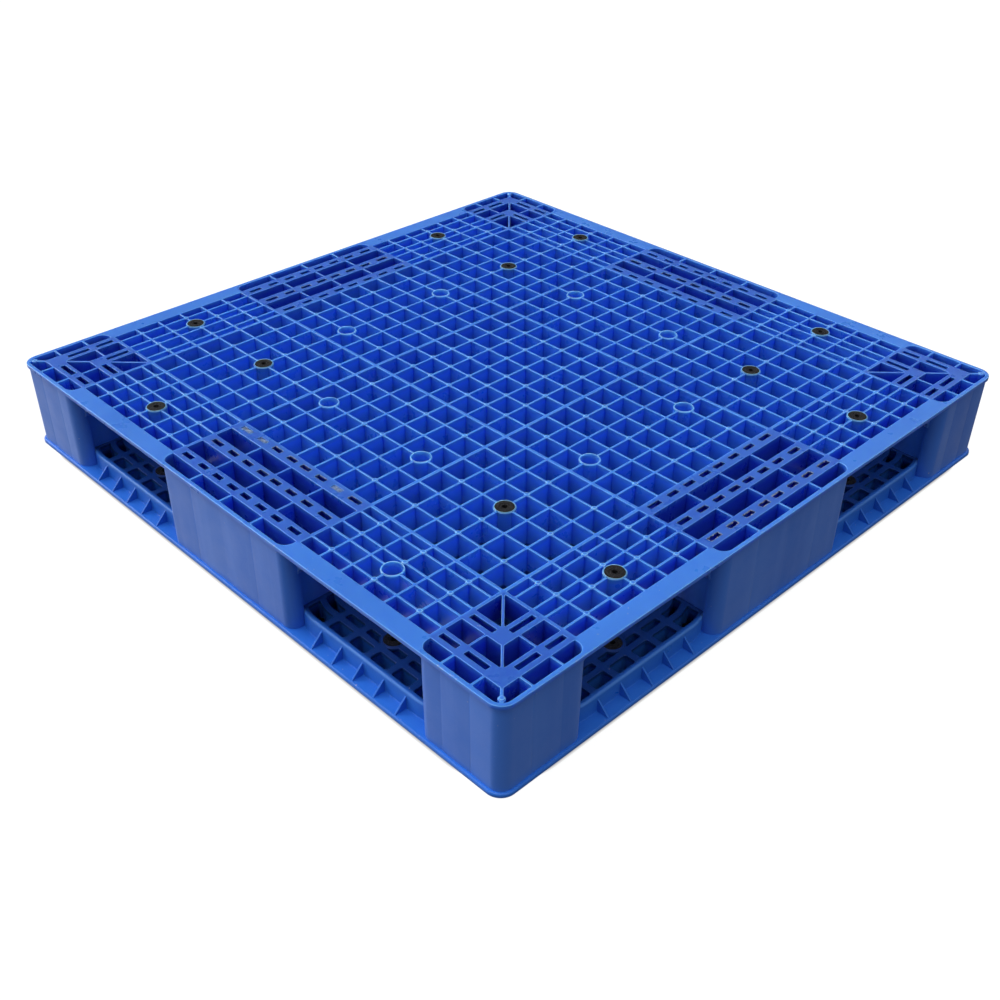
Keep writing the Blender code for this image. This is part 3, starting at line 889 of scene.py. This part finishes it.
def make_base(material):
    build = Builder()
    top_holes, bottom_holes = add_base_openings(build)
    turns = [math.radians(90 * k / 4) for k in range(5)]

    outline = rounded_square(HALF, CORNER_R, 12)
    levels = [(grown(outline, -0.8), 0.0), (outline, 0.8)]
    for a in turns:
        levels.append((grown(outline, -BEAD * (1 - math.cos(a))), FLANGE - BEAD + BEAD * math.sin(a)))
    bottom, flange_edge = build.stack(levels)

    panel, shares = panel_outline()
    levels = [(grown(panel, out, shares), FLANGE + up) for out, up in ((1.6, 0.0), (0.5, 0.5), (0.2, 1.8))]
    # The middle of the rim's rounding gets a faint painted highlight.
    for a in turns:
        rim = grown(panel, -RIM_EDGE * (1 - math.cos(a)), shares)
        levels.append((rim, PANEL_TOP - RIM_EDGE + RIM_EDGE * math.sin(a), 0.3 * math.sin(2 * a)))
    panel_foot, panel_edge = build.stack(levels)
    build.cap(flange_edge, [panel_foot])

    pocket = BLOCK + POCKET_GAP
    square = rounded(rectangle(-pocket, pocket, -pocket, pocket), 5.0, 4)
    first, last = build.stack(edge_levels(square, PANEL_TOP, 1.5, 1) + [(square, FLANGE)])
    build.cap(last)
    build.cap(panel_edge, top_holes + [first])
    build.cap(bottom, bottom_holes)

    for quarter in range(4):
        spin = Matrix.Rotation(quarter * math.pi / 2, 3, "Z")
        for x in [sign * line for sign in (-1, 1) for line in LINES[4:9]]:
            points, faces = gusset(x)
            build.add([tuple(spin @ Vector(point)) for point in points], faces)
    return build.make("base_moulding", material)


# -------- rubber plugs
def make_plug(name, spot, low, high, material):
    """A rubber plug: a body through the tube and a head with a shallow groove and a hole."""
    hole, body, head = 4.2, BORE_R - 0.5, SEAT_R - 0.15
    profile = [
        (hole, low + 0.6), (hole, high - 1.3), (hole + 0.25, high - 0.6), (hole + 0.9, high - 0.3),
        (6.6, high - 0.3), (7.0, high - 1.0), (7.8, high - 1.0), (8.2, high - 0.2), (8.8, high),
        (head - 0.9, high), (head - 0.25, high - 0.3), (head, high - 0.9),
        (head, high - 4.4), (body, high - 4.7), (body - 0.3, low + 0.6), (body - 0.9, low),
        (hole + 0.6, low),
    ]
    build = Builder()
    rings = [build.ring(circle(spot, r, 56), z) for r, z in profile]
    for a, b in zip(rings, rings[1:] + rings[:1]):
        build.band(a, b)
    return build.make(name, material)


# -------- materials
class Graph:
    """Short calls that build a node tree."""

    def __init__(self, name):
        self.material = bpy.data.materials.new(name)
        self.material.use_nodes = True
        self.tree = self.material.node_tree
        self.shader = self.tree.nodes["Principled BSDF"]

    def node(self, kind, links=None, **settings):
        made = self.tree.nodes.new(kind)
        for key, value in settings.items():
            setattr(made, key, value)
        for key, value in (links or {}).items():
            socket = made.inputs[key]
            if isinstance(value, bpy.types.NodeSocket):
                self.tree.links.new(value, socket)
            else:
                socket.default_value = value
        return made

    def link(self, value, name):
        self.tree.links.new(value, self.shader.inputs[name])

    def coords(self, scale=(1, 1, 1)):
        point = self.node("ShaderNodeTexCoord").outputs["Object"]
        return self.node("ShaderNodeMapping", {"Vector": point, "Scale": scale}).outputs["Vector"]

    def noise(self, vector, scale, detail=3.0, rough=0.55):
        links = {"Vector": vector, "Scale": scale, "Detail": detail, "Roughness": rough}
        return self.node("ShaderNodeTexNoise", links).outputs["Fac"]

    def span(self, value, low, high, to_low=0.0, to_high=1.0):
        links = {"Value": value, "From Min": low, "From Max": high, "To Min": to_low, "To Max": to_high}
        return self.node("ShaderNodeMapRange", links).outputs["Result"]

    def math(self, operation, a, b=0.0):
        return self.node("ShaderNodeMath", {0: a, 1: b}, operation=operation).outputs[0]

    def mix(self, share, a, b):
        made = self.node("ShaderNodeMix", {"Factor": share, 6: a, 7: b}, data_type="RGBA")
        return made.outputs[2]

    def axis(self, name):
        point = self.node("ShaderNodeTexCoord").outputs["Object"]
        return self.node("ShaderNodeSeparateXYZ", {"Vector": point}).outputs[name]

    def carried(self, name):
        """A value that the mesh carries at its points."""
        return self.node("ShaderNodeAttribute", attribute_name=name).outputs["Fac"]


# Places in the materials are in metres. outer and inner are the larger and the smaller of |x| and |y|.
def painted_deck_wall_light(g, colour, outer, inner, z):
    """Painted light and shade on the deck's walls. They are painted a clearer blue near the top, where light
    gets into the ribs, and painted darker over the legs and in the last cells before the border, where no
    light comes through from below."""
    middle_leg, corner_leg = (0.168, 0.160), (0.435, 0.442)
    strips_end, last_cells = (0.573, 0.570), (0.543, 0.547)
    over = g.math("MAXIMUM", g.span(inner, *middle_leg), g.span(inner, *corner_leg))
    over = g.math("MULTIPLY", over, g.span(outer, *corner_leg))
    over = g.math("MULTIPLY", over, g.span(outer, *strips_end))
    dark = g.math("MAXIMUM", over, g.span(outer, *last_cells))
    dark = g.math("MULTIPLY", dark, g.span(z, 0.1575, 0.1500, 0.0, 0.55))
    fading = g.span(z, 0.1500, 0.1360, 0.0, 0.40)
    lit = g.math("SUBTRACT", g.span(z, 0.1575, 0.1510, 0.0, 0.78), fading)
    colour = g.mix(lit, colour, (0.036, 0.175, 0.86, 1.0))
    colour = g.mix(g.math("MULTIPLY", over, 0.42), colour, (0.0, 0.012, 0.32, 1.0))
    return g.mix(dark, colour, (0.0, 0.0, 0.50, 1.0))


def painted_panel_shade(g, colour, outer, z):
    """Painted shade darkens the top of the base panel, where the deck above shades it."""
    panel_shade_mask = g.math("MULTIPLY", g.span(outer, 0.575, 0.567), g.span(z, 0.028, 0.034))
    return g.mix(g.math("MULTIPLY", panel_shade_mask, 0.80), colour, (0.002, 0.010, 0.080, 1.0))


def streaky(g, colour, pale):
    """Upright flow streaks, fine and broad, under a thin veil of dust."""
    g.shader.inputs["Sheen Weight"].default_value = 0.16
    g.shader.inputs["Sheen Roughness"].default_value = 0.35
    tall = g.coords((1.0, 1.0, 0.03))
    fine, broad = g.noise(tall, 34.0, 3.0, 0.5), g.noise(tall, 11.0, 1.0, 0.4)
    colour = g.mix(g.span(fine, 0.52, 0.72, 0.0, 0.30), colour, pale)
    return g.mix(g.span(broad, 0.42, 0.62, 0.0, 0.28), colour, pale)


def marked(g, colour, coords, outer, z, specks):
    """Brown chips on the outer edge of the lip, small pale specks, pale flash, and a painted highlight on
    rounded edges.
    """
    at_edge = g.math("MULTIPLY", g.span(outer, 0.5972, 0.5992), g.span(z, 0.1575, 0.1590))
    patches, chips = g.noise(coords, 14.0, 5.0, 0.7), g.noise(coords, 160.0, 4.0, 0.7)
    marks = g.math("MULTIPLY", g.span(patches, 0.53, 0.66), g.span(chips, 0.5, 0.62))
    marks = g.math("MULTIPLY", marks, at_edge)
    colour = g.mix(g.math("MULTIPLY", marks, 0.70), colour, (0.46, 0.40, 0.36, 1.0))
    colour = g.mix(g.math("MULTIPLY", specks, 0.5), colour, (0.50, 0.48, 0.50, 1.0))
    colour = g.mix(g.math("MULTIPLY", g.carried("pale"), 0.60), colour, (0.55, 0.62, 0.74, 1.0))
    # Painted highlight: rounded edges are painted a paler azure, unevenly.
    uneven = g.span(g.noise(coords, 18.0, 3.0, 0.6), 0.3, 0.6, 0.42, 0.75)
    return g.mix(g.math("MULTIPLY", g.carried("painted_highlight"), uneven), colour, (0.22, 0.50, 0.90, 1.0))


def plastic(name, deep, light, rough, shine, glow=0.0, streaks=None, shaded=False):
    """Moulded polyethylene, cloudy between two blues, with a fine grain. glow is how much light gets into it,
    and streaks the colour of its flow streaks."""
    g = Graph(name)
    g.shader.inputs["Specular IOR Level"].default_value = shine
    g.shader.inputs["Subsurface Weight"].default_value = glow
    g.shader.inputs["Subsurface Radius"].default_value = (0.60, 0.85, 1.0)
    g.shader.inputs["Subsurface Scale"].default_value = 0.010
    coords = g.coords()
    colour = g.mix(g.span(g.noise(coords, 5.0), 0.3, 0.7), deep, light)
    mottle = g.noise(coords, 90.0, 4.0, 0.6)
    colour = g.mix(g.span(mottle, 0.35, 0.75, 0.0, 0.22), colour, light)
    specks = g.span(g.noise(coords, 210.0, 2.0, 0.5), 0.745, 0.78)

    x, y, z = g.math("ABSOLUTE", g.axis("X")), g.math("ABSOLUTE", g.axis("Y")), g.axis("Z")
    outer, inner = g.math("MAXIMUM", x, y), g.math("MINIMUM", x, y)
    if streaks:
        colour = streaky(g, colour, streaks)
    # Painted light and shade on the deck's walls.
    if glow:
        colour = painted_deck_wall_light(g, colour, outer, inner, z)
        specks = g.math("MULTIPLY", specks, g.span(z, 0.1560, 0.1580))
    # Painted shade on the base panel under the deck.
    if shaded:
        colour = painted_panel_shade(g, colour, outer, z)
    g.link(marked(g, colour, coords, outer, z, specks), "Base Color")

    smear = g.noise(coords, 22.0, 4.0, 0.6)
    matt = g.span(smear, 0.3, 0.7, rough - 0.07, rough + 0.09)
    g.link(g.math("SUBTRACT", matt, g.math("MULTIPLY", g.carried("pale"), 0.2)), "Roughness")
    grain = g.noise(coords, 900.0, 2.0, 0.6)
    wave = g.noise(coords, 38.0, 2.0, 0.5)
    height = g.math("ADD", g.math("MULTIPLY", grain, 0.25), g.math("MULTIPLY", wave, 0.5))
    bump = g.node("ShaderNodeBump", {"Strength": 0.25, "Distance": 0.0006, "Height": height})
    g.link(bump.outputs["Normal"], "Normal")
    return g.material


def rubber(name):
    """Black rubber with a pebbled grain, grey dust and light flecks painted as glints on the grain."""
    g = Graph(name)
    coords = g.coords()
    dust = g.noise(coords, 260.0, 5.0, 0.7)
    broad = g.noise(coords, 60.0, 3.0, 0.6)
    share = g.math("MULTIPLY", g.span(dust, 0.45, 0.7), g.span(broad, 0.35, 0.65))
    colour = g.mix(share, (0.004, 0.004, 0.005, 1.0), (0.024, 0.024, 0.026, 1.0))
    # Painted glints: light flecks on the pebbled grain.
    painted_glints = g.span(g.noise(coords, 640.0, 1.0, 0.5), 0.54, 0.64, 0.0, 0.55)
    colour = g.mix(painted_glints, colour, (0.055, 0.055, 0.060, 1.0))
    g.link(colour, "Base Color")
    g.link(g.span(dust, 0.3, 0.7, 0.6, 0.85), "Roughness")
    g.shader.inputs["Specular IOR Level"].default_value = 0.16
    grain = g.noise(coords, 420.0, 3.0, 0.7)
    bump = g.node("ShaderNodeBump", {"Strength": 0.6, "Distance": 0.0008, "Height": grain})
    g.link(bump.outputs["Normal"], "Normal")
    return g.material


DECK_BLUE = plastic("deck_blue_plastic", (0.034, 0.168, 0.58, 1), (0.044, 0.194, 0.64, 1), 0.31, 0.42,
                    glow=1.0)
LEG_BLUE = plastic("leg_blue_plastic", (0.022, 0.134, 0.60, 1), (0.030, 0.158, 0.66, 1), 0.42, 0.45,
                   streaks=(0.08, 0.23, 0.74, 1))
BASE_BLUE = plastic("base_blue_plastic", (0.020, 0.138, 0.60, 1), (0.027, 0.165, 0.67, 1), 0.34, 0.28,
                    shaded=True)
RUBBER = rubber("plug_rubber_black")


# -------- the object
def place(piece, slot, *nodes):
    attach(piece, "root")
    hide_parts(*nodes)


place(make_deck(DECK_BLUE), "deck_blue", "top_deck")
place(make_base(BASE_BLUE), "base_blue", "bottom_deck")
for leg_name, leg_kind, leg_turn in LEGS:
    place(make_leg(leg_name, leg_kind, leg_turn, LEG_BLUE), "leg_blue", leg_name)
for plug_name in sorted(node for node in frame["nodes"] if "_plug_" in node):
    low_corner, high_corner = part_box(plug_name)
    centre = (low_corner + high_corner) / 2
    plug_spot = (centre.x / MM, centre.y / MM)
    plug = make_plug(plug_name + "_rubber", plug_spot, low_corner.z / MM, high_corner.z / MM, RUBBER)
    place(plug, "plug_rubber", plug_name)


# -------- studio
def floor():
    """A plain pale floor that curves up far away. It glows outside the object's footprint, as a light table
    does, so shadows stay faint, and it throws no light back: the lamps and the world stand in for that."""
    build = Builder()
    # (radius, height) in metres
    bowl = ((22.0, 0.0), (26.0, 0.8), (28.5, 2.6), (29.6, 5.5), (30.0, 40.0))
    middle, _ = build.stack([(circle((0, 0), radius / MM, 96), height / MM) for radius, height in bowl])
    build.cap(middle)
    g = Graph("floor_paint")
    obj = build.make("floor", g.material)
    obj.location.z = -0.0005
    obj.visible_diffuse = obj.visible_glossy = obj.visible_transmission = obj.visible_shadow = False
    g.shader.inputs["Roughness"].default_value = 0.9
    g.shader.inputs["Specular IOR Level"].default_value = 0.0
    g.shader.inputs["Emission Color"].default_value = (1, 1, 1, 1)
    # The footprint is the square of the core, grown all round by the margin, so its corners are round.
    core = 0.5
    margin = HALF * MM - core
    parts = [g.math("MAXIMUM", g.math("SUBTRACT", g.math("ABSOLUTE", g.axis(name)), core)) for name in "XY"]
    away = g.math("SQRT", g.math("ADD", *(g.math("MULTIPLY", part, part) for part in parts)))
    outside = g.span(away, margin - 0.005, margin + 0.004)
    g.link(g.math("MULTIPLY", outside, 0.94), "Emission Strength")
    # Under the object the floor is painted nearly black, as painted shade seen through its openings.
    g.link(g.mix(outside, (0.02, 0.02, 0.02, 1), (0.12, 0.12, 0.12, 1)), "Base Color")


def shade_sheet():
    """A black sheet under the object: painted shade seen through its openings, which also keeps the light
    from below out of its hollows.
    """
    inset = 12.0
    half = HALF - inset
    corners = [(x * MM, y * MM, 0.0) for x, y in rectangle(-half, half, -half, half)]
    mesh = bpy.data.meshes.new("shade_sheet")
    mesh.from_pydata(corners, [], [(0, 1, 2, 3)])
    obj = bpy.data.objects.new("shade_sheet", mesh)
    obj.location.z = -0.0003
    bpy.context.scene.collection.objects.link(obj)
    g = Graph("shade_sheet_paint")
    g.shader.inputs["Base Color"].default_value = (0.01, 0.01, 0.01, 1)
    g.shader.inputs["Specular IOR Level"].default_value = 0.0
    mesh.materials.append(g.material)


def sun(name, azimuth, elevation, strength, softness):
    """A soft light from far away, with its angles in degrees. Azimuth 0 shines from -Y and 90 from +X."""
    light = bpy.data.lights.new(name, "SUN")
    light.energy = strength
    light.angle = math.radians(softness)
    obj = bpy.data.objects.new(name, light)
    a, e = math.radians(azimuth), math.radians(elevation)
    back = Vector((math.sin(a) * math.cos(e), -math.cos(a) * math.cos(e), math.sin(e)))
    obj.rotation_mode = "QUATERNION"
    obj.rotation_quaternion = back.to_track_quat("Z", "Y")
    bpy.context.scene.collection.objects.link(obj)


def world(sky, ground):
    """Even light from above, with weaker light from below."""
    made = bpy.data.worlds.new("studio")
    made.use_nodes = True
    tree = made.node_tree
    direction = tree.nodes.new("ShaderNodeTexCoord")
    parts = tree.nodes.new("ShaderNodeSeparateXYZ")
    tree.links.new(direction.outputs["Generated"], parts.inputs[0])
    blend = tree.nodes.new("ShaderNodeMapRange")
    tree.links.new(parts.outputs["Z"], blend.inputs["Value"])
    for key, value in (("From Min", -0.1), ("From Max", 0.1), ("To Min", ground), ("To Max", sky)):
        blend.inputs[key].default_value = value
    background = tree.nodes["Background"]
    background.inputs["Color"].default_value = (1, 1, 1, 1)
    tree.links.new(blend.outputs["Result"], background.inputs["Strength"])
    bpy.context.scene.world = made


def camera():
    """It looks down over the front right corner, from chest height."""
    azimuth, elevation, roll = (math.radians(v) for v in (45.3546, 34.7063, 0.6009))
    distance = 1.8248
    target = Vector((0.28325, -0.29325, TOP * MM))
    back = Vector((
        math.sin(azimuth) * math.cos(elevation),
        -math.cos(azimuth) * math.cos(elevation),
        math.sin(elevation),
    ))
    right = Vector((0, 0, 1)).cross(back).normalized()
    up = back.cross(right)
    tilted_right = right * math.cos(roll) + up * math.sin(roll)
    tilted_up = up * math.cos(roll) - right * math.sin(roll)
    data = bpy.data.cameras.new("camera")
    data.lens = 44.594
    data.sensor_width = 36.0
    data.clip_end = 200.0
    obj = bpy.data.objects.new("camera", data)
    axes = Matrix((tilted_right, tilted_up, back)).transposed()
    obj.matrix_world = Matrix.Translation(target + back * distance) @ axes.to_4x4()
    bpy.context.scene.collection.objects.link(obj)
    bpy.context.scene.camera = obj


floor()
shade_sheet()
world(0.26, 0.16)
sun("key_left", 284, 32, 2.20, 40)
sun("top_front_left", 340, 67, 1.18, 40)
sun("ground_left", 303, -10, 0.74, 90)
sun("rim_back", 180, 40, 0.40, 40)
sun("top_right", 88, 60, 0.62, 40)
camera()
bpy.context.scene.view_settings.view_transform = "Standard"
